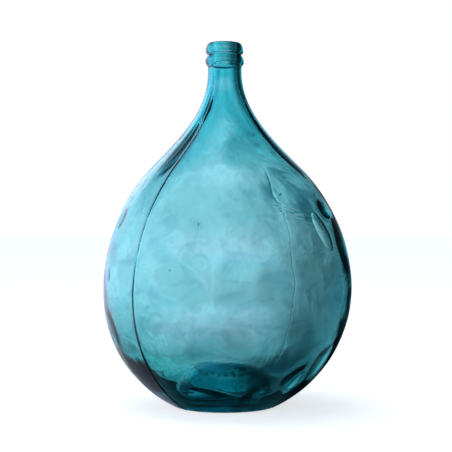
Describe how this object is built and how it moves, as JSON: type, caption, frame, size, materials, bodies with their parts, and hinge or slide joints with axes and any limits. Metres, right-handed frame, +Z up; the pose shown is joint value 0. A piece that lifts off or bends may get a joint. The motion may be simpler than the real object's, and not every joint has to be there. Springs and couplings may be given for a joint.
{
  "type": "glass carboy",
  "caption": "Pear-shaped blown glass carboy with a pushed-up base and a narrow bored neck, finished with a string rim and a rounded lip, for fermenting and storing wine or beer.",
  "frame": {"origin": "centre of the foot ring, on the surface the carboy stands on", "axes": "+Z up along the vessel's axis and out of the mouth; the front seen in the picture faces -Y"},
  "size_m": [0.3969, 0.397, 0.58],
  "materials": {
    "teal_glass": "clear teal-tinted blown glass with light waves and seeds, fire-polished"
  },
  "bodies": {
    "root": {"blown_vessel": "teal_glass", "string_rim": "teal_glass", "lip_band": "teal_glass"}
  },
  "joints": []
}
